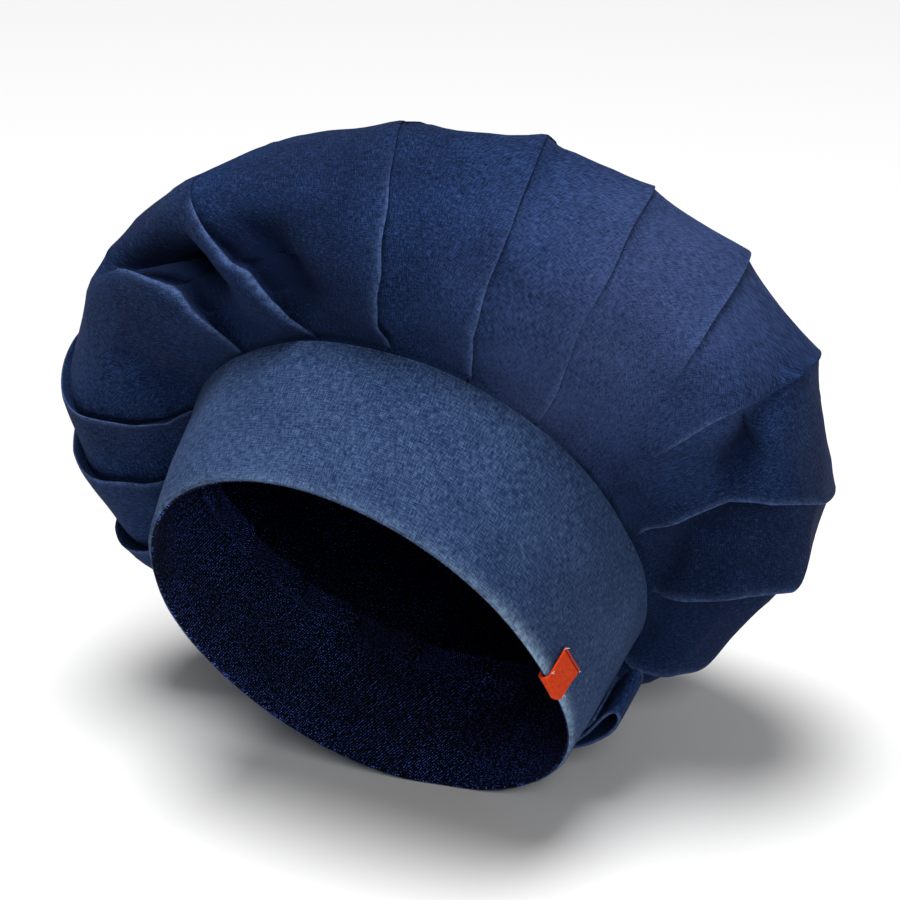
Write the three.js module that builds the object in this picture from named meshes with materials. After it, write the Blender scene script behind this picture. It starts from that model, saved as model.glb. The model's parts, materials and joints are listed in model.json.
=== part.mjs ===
// A chef's hat of soft blue cotton: a wide plain band, a full crown pleated into it, a small bare tag on
// the band's lower edge, and a bow tied at the back. It lies tipped on its side, as a soft hat does when
// it is put down: the band's edge and the crown's underside touch the surface, and the head opening faces
// forward and a little down.
//
// Millimetres and degrees. Row frame: +Z up, the surface is z = 0, the head opening faces -Y, and the hat's
// own axis rises towards +Y. Hat frame: +Z runs from the head opening to the top of the crown. An azimuth
// is measured round that axis from the line that lies uppermost, towards +X.
import * as THREE from 'three';
import { RoundedBoxGeometry } from 'three/addons/geometries/RoundedBoxGeometry.js';
import { mergeVertices } from 'three/addons/utils/BufferGeometryUtils.js';

// Driving dimensions.
const headGirth = 578;
const bandHeight = 68.5;
const crownWidth = 319;
const hatHeight = 175;
const axisRise = 28;
const backAzimuth = 156;

// Cloth and the clearance between two pieces that touch.
const crownWall = 2;
const bandWall = 2.6;
const strapWall = 1.6;
const tagWall = 1;
const gap = 0.3;

// The band is an oval with its long way from front to back, a little fuller at the back than at the brow.
const oval = { share: 0.1, azimuth: backAzimuth };
const egg = { share: 0.048, azimuth: 164 };
const bandFlare = 0.077;
const bandLean = 7.3;
const bandSaddle = { rise: 6, azimuth: 144 };
const bandBulge = 1;

// The crown spreads wider on the side that lies up and to -X, and sags below the band's top edge on the
// side that lies down and to -X.
const crownSpread = { share: 0.092, azimuth: -59 };
const crownOval = 0.032;
const crownTuck = 10;
const crownLeanRight = 0.26;
const crownLeanUp = 0.1;
const widestHeight = 104;
const sag = { mean: 14, swing: 13, azimuth: -122 };

// How far the band's edge is pressed flat by the surface.
const rimPress = 1.2;

const denim = 0x2d4170;
const bandBlue = 0x3f5583;
const orange = 0xd84810;
const clothRoughness = 0.9;
const tagRoughness = 0.7;

// The crown's section from the hem inside the band to the centre of the top. A row's radius runs from the
// band's inner face (out 0) to the widest part (out 1), and on the dome from the axis (out 0); its height
// runs from the band's top edge (up 0) to the widest part (up 1), and on to the top of the hat (up 2). past
// is how far it lies past the band's top edge, sag the share of the sag it takes, and pleat the share of
// the folds' depth.
const crownSection = [
  { row: 'hem', out: 0, up: 0, past: -crownTuck, sag: 0, pleat: 0 },
  { row: 'mouth', out: 0, up: 0, past: 0, sag: 0, pleat: 0 },
  { row: 'lip', out: 0.07, up: 0, past: 7, sag: 0, pleat: 0.2 },
  { row: 'underside', out: 0.34, up: 0.14, past: 0, sag: 0.75, pleat: 0.8 },
  { row: 'belly', out: 0.74, up: 0.36, past: 0, sag: 0.9, pleat: 1 },
  { row: 'widest', out: 1, up: 1, past: 0, sag: 0.1, pleat: 1 },
  { row: 'shoulder', out: 0.807, up: 1.83, past: 0, sag: 0, pleat: 0.5 },
  { row: 'brow', out: 0.5, up: 1.95, past: 0, sag: 0, pleat: 0.15 },
  { row: 'top', out: 0, up: 2, past: 0, sag: 0, pleat: 0 },
];
const stepsPerRow = 2;
const domeRow = crownSection.findIndex((row) => row.row === 'shoulder');

// The pleats, each folded over the next one in the direction of growing azimuth: where its folded edge
// leaves the band, where it crosses the shoulder, and how far it stands above the pleat that it covers.
const pleats = [
  { atBand: -142, atShoulder: -142, depth: 5 },
  { atBand: -122, atShoulder: -122, depth: 6 },
  { atBand: -104, atShoulder: -105, depth: 7 },
  { atBand: -83, atShoulder: -85, depth: 8 },
  { atBand: -61, atShoulder: -70, depth: 8 },
  { atBand: -40, atShoulder: -52, depth: 7 },
  { atBand: -18, atShoulder: -35, depth: 8 },
  { atBand: 2, atShoulder: -14, depth: 7 },
  { atBand: 22, atShoulder: 10, depth: 6 },
  { atBand: 41, atShoulder: 29, depth: 5 },
  { atBand: 61, atShoulder: 51, depth: 5 },
  { atBand: 82, atShoulder: 77, depth: 6 },
  { atBand: 99, atShoulder: 98, depth: 7 },
  { atBand: 117, atShoulder: 112, depth: 7 },
  { atBand: 138, atShoulder: 138, depth: 6 },
  { atBand: 158, atShoulder: 158, depth: 5 },
  { atBand: 178, atShoulder: 178, depth: 5 },
  { atBand: 198, atShoulder: 198, depth: 5 },
];

// Across one pleat, from the valley beside the fold before it to its own folded edge.
const pleatSection = [
  { across: 0, height: 0 },
  { across: 0.24, height: 0.2 },
  { across: 0.48, height: 0.42 },
  { across: 0.7, height: 0.7 },
  { across: 0.87, height: 1 },
];

// The tag, folded round the band's lower edge.
const tag = { azimuth: 89, width: 17, outside: 13, inside: 5, columns: 4 };

// The bow at the back of the band, flat between the band and the surface. side is the way round the band.
const strapWidth = 22;
const knot = { length: 16, depth: 8, height: 26, corner: 3, above: 38, gap: 1.5 };
const loops = [
  { name: 'tie_loop_right', side: -1, reach: 50, depth: 12, above: 35 },
  { name: 'tie_loop_left', side: 1, reach: 46, depth: 4.6, above: 40 },
];
const tails = [
  { name: 'tie_tail_right', side: -1, reach: 34, above: 36 },
  { name: 'tie_tail_left', side: 1, reach: 72, above: 38 },
];
const loopSteps = 24;
const tailSteps = 12;

const radian = THREE.MathUtils.degToRad;
const cosine = (degrees) => Math.cos(radian(degrees));
const sine = (degrees) => Math.sin(radian(degrees));

// A point of the hat frame from its distance to the axis, its azimuth and its height above the rim plane.
function polar(radius, azimuth, height) {
  return new THREE.Vector3(radius * sine(azimuth), -radius * cosine(azimuth), height);
}

function rimRadius(azimuth) {
  const meanRadius = headGirth / (2 * Math.PI);
  const ovalPart = oval.share * cosine(2 * (azimuth - oval.azimuth));
  const eggPart = egg.share * cosine(3 * (azimuth - egg.azimuth));
  return meanRadius * (1 + ovalPart + eggPart);
}

// The band's middle surface, from its lower edge (share 0) to its top edge (share 1), moved out by offset.
function bandPoint(azimuth, share, offset) {
  const bulge = bandBulge * Math.sin(Math.PI * share);
  const radius = rimRadius(azimuth) * (1 + bandFlare * share) + bulge + offset;
  return polar(radius, azimuth, bandEdge(azimuth) + share * (bandHeight + bandLean * sine(azimuth)));
}

function bandEdge(azimuth) {
  return bandSaddle.rise * cosine(2 * (azimuth - bandSaddle.azimuth));
}

// The surface's upward direction in the hat frame, and the height of the rim's centre above it.
const upward = new THREE.Vector3(0, -cosine(axisRise), sine(axisRise));
const azimuths = Array.from({ length: 360 }, (_, step) => step);
const lowestRim = Math.min(...azimuths.map((azimuth) => bandPoint(azimuth, 0, bandWall / 2).dot(upward)));
const rimLift = -lowestRim - rimPress;

// Moves a point straight up until it is at least clearance above the surface that the hat lies on.
function pressed(point, clearance) {
  const height = point.dot(upward) + rimLift;
  return height < clearance ? point.addScaledVector(upward, clearance - height) : point;
}

// A closed solid from sections set round the axis, each a closed run of points, the first to the last.
// Sections may share a point, as they do at the centre of the top.
function solidOfSections(sections) {
  const count = sections[0].length;
  const positions = sections.flat().flatMap((point) => point.toArray());
  const corners = [];
  sections.forEach((_, section) => {
    const here = section * count;
    const there = ((section + 1) % sections.length) * count;
    for (let point = 0; point < count; point += 1) {
      const next = (point + 1) % count;
      corners.push([here + point, there + point, there + next], [here + point, there + next, here + next]);
    }
  });
  return mergedGeometry(positions, corners);
}

// A closed solid from sections set along a strip, each a closed run of points, with a flat cap at each end.
function solidOfStrip(sections) {
  const count = sections[0].length;
  const positions = sections.flat().flatMap((point) => point.toArray());
  const corners = [];
  for (let section = 0; section + 1 < sections.length; section += 1) {
    const here = section * count;
    const there = here + count;
    for (let point = 0; point < count; point += 1) {
      const next = (point + 1) % count;
      corners.push([here + point, there + point, there + next], [here + point, there + next, here + next]);
    }
  }
  const last = (sections.length - 1) * count;
  for (let point = 1; point + 1 < count; point += 1) {
    corners.push([0, point, point + 1], [last, last + point + 1, last + point]);
  }
  return mergedGeometry(positions, corners);
}

// Joins points that coincide and leaves out triangles that have no area.
function mergedGeometry(positions, corners) {
  const loose = new THREE.BufferGeometry();
  loose.setAttribute('position', new THREE.Float32BufferAttribute(positions, 3));
  loose.setIndex(corners.flat());
  const merged = mergeVertices(loose, 1e-4);
  const index = merged.getIndex();
  const kept = corners
    .map((_, triangle) => [0, 1, 2].map((corner) => index.getX(3 * triangle + corner)))
    .filter(([a, b, c]) => a !== b && b !== c && c !== a);
  const facing = enclosedVolume(merged, kept) > 0 ? kept : kept.map(([a, b, c]) => [a, c, b]);
  merged.setIndex(facing.flat());
  merged.computeVertexNormals();
  return merged;
}

// Positive where the triangles face outwards.
function enclosedVolume(geometry, corners) {
  const position = geometry.getAttribute('position');
  const at = (index) => new THREE.Vector3().fromBufferAttribute(position, index);
  return corners.reduce((volume, [a, b, c]) => volume + at(a).dot(at(b).cross(at(c))) / 6, 0);
}

function crownRadius(azimuth) {
  const wide = crownSpread.share * cosine(azimuth - crownSpread.azimuth);
  return (crownWidth / 2) * (1 + wide - crownOval * cosine(2 * azimuth));
}

function crownSag(azimuth) {
  return Math.max(0, sag.mean + sag.swing * cosine(azimuth - sag.azimuth));
}

// The crown's section at an azimuth, as radius and height, without its pleats.
function crownCurve(azimuth) {
  const widest = crownRadius(azimuth);
  const points = crownSection.map((row, index) => {
    const seat = bandPoint(azimuth, 1 + Math.min(row.past, 0) / bandHeight, -bandWall / 2 - gap);
    const inner = index < domeRow ? Math.hypot(seat.x, seat.y) : 0;
    const lower = Math.min(row.up, 1) * (widestHeight - seat.z);
    const upper = Math.max(row.up - 1, 0) * (hatHeight - widestHeight);
    const height = seat.z + lower + upper + Math.max(row.past, 0) - row.sag * crownSag(azimuth);
    return new THREE.Vector2(THREE.MathUtils.lerp(inner, widest, row.out), height);
  });
  return new THREE.SplineCurve(points);
}

// The share of the pleats' depth at a place along the section, between its two nearest rows.
function pleatShare(along) {
  const place = along * (crownSection.length - 1);
  const row = Math.min(Math.floor(place), crownSection.length - 2);
  return THREE.MathUtils.lerp(crownSection[row].pleat, crownSection[row + 1].pleat, place - row);
}

// A point of the crown's outer face, or of its inner face when inset is the wall's thickness.
function crownPoint(azimuth, along, height, inset) {
  const curve = crownCurve(azimuth);
  const place = curve.getPoint(along);
  const tangent = curve.getTangent(along);
  const outward = height * pleatShare(along) - inset;
  const radius = along === 1 ? 0 : place.x + tangent.y * outward;
  const level = place.y - tangent.x * outward;
  const point = polar(radius, azimuth, level);
  const aboveBand = Math.max(0, level - bandPoint(azimuth, 1, 0).z);
  point.x += crownLeanRight * aboveBand;
  point.y -= crownLeanUp * aboveBand;
  return pressed(point, inset);
}

// One section of the crown's wall, up its outer face and back down its inner face.
function crownWallSection(pleat, nextPleat, across, height) {
  const steps = (crownSection.length - 1) * stepsPerRow;
  const shoulder = domeRow / (crownSection.length - 1);
  const face = (inset) => Array.from({ length: steps + 1 }, (_, step) => {
    const along = step / steps;
    const drift = THREE.MathUtils.smoothstep(along, 0, shoulder);
    const from = THREE.MathUtils.lerp(pleat.atBand, pleat.atShoulder, drift);
    const to = THREE.MathUtils.lerp(nextPleat.atBand, nextPleat.atShoulder, drift);
    return crownPoint(THREE.MathUtils.lerp(from, to, across), along, height, inset);
  });
  return [...face(0), ...face(crownWall).reverse()];
}

function crown() {
  const sections = pleats.flatMap((pleat, index) => {
    const wraps = index === pleats.length - 1;
    const following = pleats[(index + 1) % pleats.length];
    const turn = wraps ? 360 : 0;
    const next = { atBand: following.atBand + turn, atShoulder: following.atShoulder + turn };
    const depth = following.depth;
    return pleatSection.map(({ across, height }) => crownWallSection(pleat, next, across, height * depth));
  });
  return solidOfSections(sections);
}

function band() {
  const shares = [0, 0.25, 0.5, 0.75, 1];
  const count = 60;
  const sections = Array.from({ length: count }, (_, step) => {
    const azimuth = (360 * step) / count;
    const outer = shares.map((share) => pressed(bandPoint(azimuth, share, bandWall / 2), 0));
    const inner = shares.map((share) => pressed(bandPoint(azimuth, share, -bandWall / 2), bandWall));
    return [...outer, ...inner.reverse()];
  });
  return solidOfSections(sections);
}

// The tag runs up the outside of the band, round its lower edge and a little way up the inside. Each stop
// along it has a point next to the band and one on the tag's far face, as offset and height.
function tagGeometry() {
  const near = bandWall / 2 + gap;
  const far = near + tagWall;
  const stops = [
    { near: [near, tag.outside], far: [far, tag.outside] },
    { near: [near, tag.outside / 2], far: [far, tag.outside / 2] },
    { near: [near, -gap], far: [far, -gap - tagWall] },
    { near: [-near, -gap], far: [-far, -gap - tagWall] },
    { near: [-near, tag.inside], far: [-far, tag.inside] },
  ];
  const turn = THREE.MathUtils.radToDeg(tag.width / rimRadius(tag.azimuth));
  const columns = Array.from({ length: tag.columns }, (_, column) => column / (tag.columns - 1) - 0.5);
  const row = ([offset, height]) => columns.map((column) => (
    bandPoint(tag.azimuth + column * turn, height / bandHeight, offset)));
  return solidOfStrip(stops.map((stop) => [...row(stop.near), ...row(stop.far).reverse()]));
}

// A point beside the band's outer face: along from the back of the hat, off the face, and up from the edge.
function besideBand(along, off, height) {
  const turn = THREE.MathUtils.radToDeg(along / rimRadius(backAzimuth));
  return bandPoint(backAzimuth + turn, height / bandHeight, bandWall / 2 + off);
}

// One section of a strap that stands on its edge: the same two places at its lower and its upper edge.
function strapSection(along, near, far, above) {
  return [
    besideBand(along[0], near, above - strapWidth / 2),
    besideBand(along[0], near, above + strapWidth / 2),
    besideBand(along[1], far, above + strapWidth / 2),
    besideBand(along[1], far, above - strapWidth / 2),
  ];
}

// A tail lies flat on the band, from the knot to its free end.
function tailGeometry({ side, reach, above }) {
  const start = knot.length / 2 + gap;
  const sections = Array.from({ length: tailSteps + 1 }, (_, step) => {
    const along = side * (start + (reach * step) / tailSteps);
    return strapSection([along, along], gap, gap + strapWall, above);
  });
  return solidOfStrip(sections);
}

// A loop lies on the tail: a flat drop-shaped ring of strap that is narrow at the knot and full at its end.
function loopGeometry({ side, reach, depth, above }) {
  const start = knot.length / 2 + gap;
  const floor = 2 * gap + strapWall;
  const neckDepth = 2 * strapWall + gap;
  const sections = Array.from({ length: loopSteps }, (_, step) => {
    const angle = (2 * Math.PI * step) / loopSteps;
    const share = (1 - Math.cos(angle)) / 2;
    const full = THREE.MathUtils.lerp(neckDepth, depth, share);
    const outerOff = floor + (full / 2) * (1 + Math.sin(angle));
    const innerOff = floor + full / 2 + (full / 2 - strapWall) * Math.sin(angle);
    const outer = side * (start + reach * share);
    const inner = side * (start + strapWall + (reach - 2 * strapWall) * share);
    return strapSection([inner, outer], innerOff, outerOff, above);
  });
  return solidOfSections(sections);
}

function knotMesh() {
  const geometry = new RoundedBoxGeometry(knot.length, knot.depth, knot.height, 3, knot.corner);
  const mesh = piece('tie_knot', geometry, denim, clothRoughness);
  mesh.position.copy(besideBand(0, knot.gap + knot.depth / 2, knot.above));
  mesh.rotation.z = radian(backAzimuth);
  return mesh;
}

function piece(name, geometry, colour, roughness) {
  const material = new THREE.MeshStandardMaterial({ color: colour, roughness, metalness: 0 });
  const mesh = new THREE.Mesh(geometry, material);
  mesh.name = name;
  return mesh;
}

const hat = new THREE.Group();
hat.add(piece('crown', crown(), denim, clothRoughness));
hat.add(piece('band', band(), bandBlue, clothRoughness));
hat.add(piece('tag', tagGeometry(), orange, tagRoughness));
hat.add(knotMesh());
loops.forEach((loop) => hat.add(piece(loop.name, loopGeometry(loop), denim, clothRoughness)));
tails.forEach((tail) => hat.add(piece(tail.name, tailGeometry(tail), denim, clothRoughness)));
hat.rotation.x = radian(axisRise - 90);
hat.position.z = rimLift;

// The origin is on the surface, under the middle of the hat's box.
const middle = new THREE.Box3().setFromObject(hat, true).getCenter(new THREE.Vector3());
hat.position.x -= middle.x;
hat.position.y -= middle.y;

const root = new THREE.Group();
root.add(hat);
export default root;
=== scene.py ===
# A chef's hat of soft blue cotton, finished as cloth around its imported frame. Metres and degrees. In the
# hat's own frame +Z runs from the head opening to the top of the crown, and an azimuth is measured round
# that axis from the line that lies uppermost, towards +X, which is clockwise as one looks into the opening.
import json
import math

import bpy
import numpy as np
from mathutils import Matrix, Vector, noise


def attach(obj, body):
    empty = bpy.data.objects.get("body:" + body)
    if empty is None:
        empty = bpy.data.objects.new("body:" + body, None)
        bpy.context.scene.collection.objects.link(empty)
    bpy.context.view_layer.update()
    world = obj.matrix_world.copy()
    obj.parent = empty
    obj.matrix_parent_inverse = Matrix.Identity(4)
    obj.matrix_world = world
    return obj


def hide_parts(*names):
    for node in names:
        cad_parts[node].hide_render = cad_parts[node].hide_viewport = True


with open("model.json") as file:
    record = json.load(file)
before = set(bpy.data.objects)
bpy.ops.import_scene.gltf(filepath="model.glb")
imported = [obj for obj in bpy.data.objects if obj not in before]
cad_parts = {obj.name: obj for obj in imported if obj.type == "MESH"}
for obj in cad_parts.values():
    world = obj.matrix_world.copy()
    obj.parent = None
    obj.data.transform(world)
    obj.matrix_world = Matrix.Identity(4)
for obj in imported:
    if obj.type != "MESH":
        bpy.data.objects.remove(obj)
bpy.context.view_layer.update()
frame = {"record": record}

# Where the hat lies: the centre of the head opening and the way that its axis rises.
opening = next(mount for mount in frame["record"]["mounts"] if mount["name"] == "head_opening")
RIM_CENTRE = np.array(opening["pos_m"])
AXIS_RISE = math.degrees(math.asin(-opening["axis"][2]))

# The hat's driving sizes, the same as those of its frame.
HEAD_GIRTH = 0.578
BAND_HEIGHT = 0.0685
CROWN_WIDTH = 0.319
HAT_HEIGHT = 0.175
WIDEST_HEIGHT = 0.104
BACK_AZIMUTH = 156
BAND_WALL = 0.0026
GAP = 0.0003
OVAL = {"share": 0.1, "azimuth": BACK_AZIMUTH}
EGG = {"share": 0.048, "azimuth": 164}
BAND_FLARE = 0.077
BAND_LEAN = 0.0073
BAND_SADDLE = {"rise": 0.006, "azimuth": 144}
BAND_BULGE = 0.001
CROWN_SPREAD = {"share": 0.092, "azimuth": -59}
CROWN_OVAL = 0.032
CROWN_TUCK = 0.010
CROWN_LEAN_RIGHT = 0.26
CROWN_LEAN_UP = 0.1
SAG = {"mean": 0.014, "swing": 0.013, "azimuth": -122}

# The cotton: one layer in the crown, folded tape in the ties and the tag.
CROWN_CLOTH = 0.0005
STRAP_CLOTH = 0.0014
TAG_CLOTH = 0.0008
FLOOR_CLEARANCE = 0.0004
PRESSING_SOFTNESS = 0.0008

# The crown's section from the hem inside the band to the centre of the top, as in its frame: radius and
# height as shares, past the band's edge in metres, and the share of the sag. rise is the share of the
# folds' depth there, and lap how far the cloth runs back under a fold.
SECTION_COLUMNS = ("row", "out", "up", "past", "sag", "rise", "lap", "steps")
CROWN_SECTION = [dict(zip(SECTION_COLUMNS, row)) for row in (
    ("hem", 0, 0, -CROWN_TUCK, 0, 0, 0.013, 3),
    ("mouth", 0, 0, 0, 0, 0.3, 0.013, 8),
    ("lip", 0.045, 0, 0.0025, 0, 1, 0.013, 14),
    ("underside", 0.34, 0.14, 0, 0.75, 1, 0.012, 20),
    ("belly", 0.74, 0.36, 0, 0.9, 1, 0.010, 20),
    ("widest", 1, 1, 0, 0.1, 1, 0.007, 20),
    ("shoulder", 0.807, 1.83, 0, 0, 1, 0.004, 13),
    ("brow", 0.5, 1.95, 0, 0, 0.3, 0.001, 8),
    ("top", 0, 2, 0, 0, 0, 0, 0),
)]
MOUTH, LIP, UNDERSIDE, BELLY, WIDEST, SHOULDER, BROW, TOP = range(1, len(CROWN_SECTION))

# The place along the section that counts as being at the band, and where the folds have died away. The
# smallest radius is the one by which a lap near the top is turned into an angle.
AT_BAND = MOUTH + 0.3
FLAT_TOP = TOP - 0.4
SMALLEST_RADIUS = 0.02

# The pleats in the direction of growing azimuth. edge is the azimuth of the folded edge at the band, the
# underside, the belly, the widest part and the shoulder, and depth how far the next pleat lies below that
# edge, in millimetres, at the lip and those same four places.
PLEATS = [
    {"edge": (-142, -142, -142, -142, -142), "depth": (2, 3, 3, 3, 2)},
    {"edge": (-122, -122, -123, -123, -122), "depth": (3, 4, 5, 5, 3)},
    {"edge": (-101, -101, -103, -105, -105), "depth": (3, 5, 6, 6, 3)},
    {"edge": (-83, -84, -86, -86, -86), "depth": (3, 5, 5, 5, 3)},
    {"edge": (-60, -68, -73, -76, -77), "depth": (3, 4, 4, 3, 1.5)},
    {"edge": (-41, -34.5, -38, -58, -62), "depth": (2, 10, 14, 0.8, 0.1)},
    {"edge": (-16.5, -19, -24, -33, -38), "depth": (2, 12, 12, 1, 0.1)},
    {"edge": (2, 2.8, 3, -1, -17.5), "depth": (2.5, 3, 3, 2.5, 0.8)},
    {"edge": (22.5, 21, 19.5, 17, 9), "depth": (2.5, 3, 2.5, 2, 0.8)},
    {"edge": (41.5, 38.5, 35, 32.5, 30), "depth": (2, 2.4, 2, 1.7, 1)},
    {"edge": (61, 54.5, 52, 49, 52), "depth": (0.5, 0.5, 1, 2.5, 2)},
    {"edge": (76, 62, 61, 64, 79), "depth": (0.5, 1, 3, 1.8, 0.5)},
    {"edge": (95, 82.5, 80, 88.5, 116), "depth": (1.5, 6, 14, 3.5, 0.5)},
    {"edge": (122, 110, 105, 109, 124), "depth": (2, 7, 9, 4, 1)},
    {"edge": (146, 141, 137, 138, 141), "depth": (3, 4, 4, 3, 2)},
    {"edge": (161, 159, 158, 158, 158), "depth": (2, 3, 3, 3, 2)},
    {"edge": (180, 179, 178, 178, 178), "depth": (2, 3, 3, 3, 2)},
    {"edge": (199, 198, 198, 198, 198), "depth": (2, 3, 3, 3, 2)},
]
MILLIMETRE = 0.001

# A fold shallower than the first depth is a mere crease, and one deeper than the second has its full lap.
SHALLOW_FOLD = 0.0012
DEEP_FOLD = 0.0045

# The lap from which a folded edge is rounded in full, the depths between which it begins to be rubbed and
# is rubbed in full, how strongly, and how far it strays sideways, in degrees and by its pace on the way up.
FULL_LAP = 0.006
RUBBED_FROM = 0.0008
RUBBED_FULLY = 0.003
EDGE_WEAR = 0.65
STRAYING = {"degrees": 0.7, "pace": 1.7, "between_pleats": 5.3, "shift": 0.4}

# How far the cloth dips between two folded edges, against the straight line from one to the other.
DRAWN_IN = 1.15

# One pleat across, from the valley under the fold before it to its own folded edge and back under it.
# lap_before and lap_own are shares of the laps of those two folds, across the share of the way from the
# one folded edge to the other, back a distance behind the own edge, below_before and below_own shares of
# the depths of those two folds, worn how much the cloth is rubbed pale, and stacked how deep it lies in
# the stack of layers inside the band.
PLEAT_COLUMNS = ("lap_before", "lap_own", "across", "back", "below_before", "below_own", "worn", "stacked")
PLEAT_SECTION = [dict(zip(PLEAT_COLUMNS, point)) for point in (
    (1, 0, 0, 0, 1, 0, 0, 1),
    (0.45, 0, 0, 0, 0.99, 0, 0, 1),
    (0, 0, 0.05, 0, 0.94, 0, 0, 0.5),
    (0, 0, 0.24, 0, 0.68, 0, 0, 0),
    (0, 0, 0.48, 0, 0.38, 0, 0, 0),
    (0, 0, 0.74, 0, 0.15, 0, 0, 0),
    (0, 0, 1, 0.004, 0.01, 0, 0, 0),
    (0, 0, 1, 0.0008, 0, 0, 1, 0),
    (0, 0, 1, 0, 0, 0.1, 1, 0),
    (0, 0.12, 1, 0.001, 0, 0.3, 0, 0.2),
    (0, 0.6, 1, 0, 0, 0.7, 0, 0.6),
)]
STEPS_PER_POINT = 2

# Inside the band: how far the outermost layer lies below the band's inner face, and the innermost below
# that one.
STACK = {"outermost": 0.0003, "thickness": 0.0022}

# Dents and raised creases of the crown beside its pleats: depth, negative where the cloth stands up, half
# width, and the way they run as azimuth, place along the section and strength.
CREASES = [
    {"name": "hollow under the big lobe", "depth": 0.036, "width": 0.008,
     "way": [(-31, 3.5, 0.2), (-33, 4.0, 0.6), (-38, 4.45, 1), (-44, 4.65, 1), (-50, 4.78, 0.8),
             (-56, 4.85, 0.3)]},
    {"name": "lip of the big lobe", "depth": -0.005, "width": 0.013,
     "way": [(-29, 4.9, 0.3), (-39, 5.15, 1), (-50, 5.25, 1), (-62, 5.25, 0.4)]},
    {"name": "fan from the upper left corner", "depth": 0.011, "width": 0.012,
     "way": [(-30, 5.1, 0.1), (-26, 4.75, 0.5), (-22, 4.3, 1), (-19.5, 3.8, 1), (-17, 3.2, 0.5)]},
    {"name": "crease from the top corner", "depth": 0.004, "width": 0.004,
     "way": [(-16.5, 6.0, 0.8), (-4, 5.4, 1), (1.5, 4.9, 0.2)]},
    {"name": "crease from the upper right corner", "depth": 0.0035, "width": 0.004,
     "way": [(10.5, 6.1, 0.6), (15.5, 5.5, 1), (19.5, 4.9, 0.3)]},
    {"name": "short crease beside it", "depth": 0.0025, "width": 0.004,
     "way": [(33.5, 5.9, 0.6), (33.5, 5.5, 1), (34, 5.2, 0.3)]},
    {"name": "pressed line", "depth": -0.0008, "width": 0.0015,
     "way": [(24.5, 3.4, 0.5), (27, 4.9, 0.6)]},
    {"name": "raised crease at the left", "depth": -0.003, "width": 0.003,
     "way": [(-63, 3.75, 0.6), (-63.5, 3.4, 1), (-66, 2.5, 0.5)]},
    {"name": "hollow beside it", "depth": 0.006, "width": 0.008,
     "way": [(-57, 3.6, 0.5), (-58, 3.0, 1), (-59.5, 2.0, 0.5)]},
    {"name": "long valley at the right", "depth": 0.017, "width": 0.010,
     "way": [(66, 5.25, 0.3), (66.5, 4.8, 0.8), (70, 4.4, 1), (73, 4.0, 0.6), (75, 3.6, 0)]},
    {"name": "full lobe at the right", "depth": -0.005, "width": 0.022,
     "way": [(70, 5.3, 0.6), (82, 5.5, 1), (92, 5.5, 0.7)]},
    {"name": "valley down to the tag", "depth": 0.007, "width": 0.009,
     "way": [(80, 3.8, 0.6), (93, 2.75, 1), (113, 1.7, 0.3)]},
]

# The cotton's own unevenness: how far it rises, the size of its swells, and the part of the noise that it
# takes. Ridges stand only in patches, between the two noise levels, and wrinkles are counted round the band
# as a radius in noise cells.
SWELLS = {"rise": 0.0015, "size": 0.055, "shift": 3.1}
DIMPLES = {"rise": 0.0004, "size": 0.019, "shift": 7.7}
RIDGES = {"rise": 0.002, "size": 0.042, "shift": 9.3, "sharpness": 4}
RIDGE_PATCHES = {"size": 0.07, "shift": 1.9, "none": -0.3, "full": 0.4}
WRINKLES = {"rise": 0.0018, "size": 1.0, "shift": 2.3, "round": 9, "along": 0.5}
BAND_SWELLS = {"rise": 0.0011, "size": 0.035, "shift": 1.7}
BAND_DIMPLES = {"rise": 0.0005, "size": 0.014, "shift": 4.4}

# Painted light and shade round the crown: one patch painted lighter and greyer where the light falls on it,
# and patches painted darker where shade falls.
PAINTED_LIGHT_PATCHES = [
    {"azimuth": 40, "half_width": 25, "amount": 0.25},
    {"azimuth": -45, "half_width": 40, "amount": -0.1},
    {"azimuth": -12, "half_width": 12, "amount": -0.08},
    {"azimuth": 98, "half_width": 27, "amount": -0.2},
]

# Painted shade at the bottom of a fold or a hollow: how much darker the cloth is painted there, and the
# depths between which that sets in.
PAINTED_SHADE_IN_HOLLOWS = {"most": 0.45, "from": 0.004, "full": 0.018}

# The band's surface: the shares of its height between which its faces are flat, the roll of its turned top
# edge, and its paler wear along both edges, which is strongest beside the tag.
BAND_FACE = {"from": 0.012, "to": 0.985, "steps": 26, "columns": 360}
BAND_ROLL = {"rise": 0.0006, "at": 0.975, "width": 0.03}
TOP_WEAR = {"most": 0.6, "width": 0.008}
BOTTOM_WEAR = {"most": 0.1, "width": 0.045}
WEAR_BY_TAG = {"most": 0.7, "azimuth": 86, "width": 34}

# The chambray's threads, the thicker places in its yarn, the inside's twill and the tag's tape. Sizes are
# in metres, and long and short are noise cells in a metre.
WEAVE = {"thread": 0.00045, "run": 0.0035, "contrast": 3.74, "relief": 0.00025}
SLUBS = {"long": 40.0, "short": 1100.0, "from": 0.60, "full": 0.78}
TWILL = {"rib": 0.0011, "slant": 0.35, "relief": 0.0003}
TAPE = {"long": 300.0, "short": 2600.0, "seam": 0.0002, "relief": 0.0003}
THREAD_RELIEF = 0.0001

# The dye's unevenness: noise cells in a metre, the noise's detail and roughness, and how much it shows.
MOTTLE = {"cells": 38.0, "detail": 4.0, "roughness": 0.6, "strength": 0.5}
CLOUDS = {"cells": 11.0, "detail": 3.0, "roughness": 0.55, "strength": 0.6}

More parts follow.
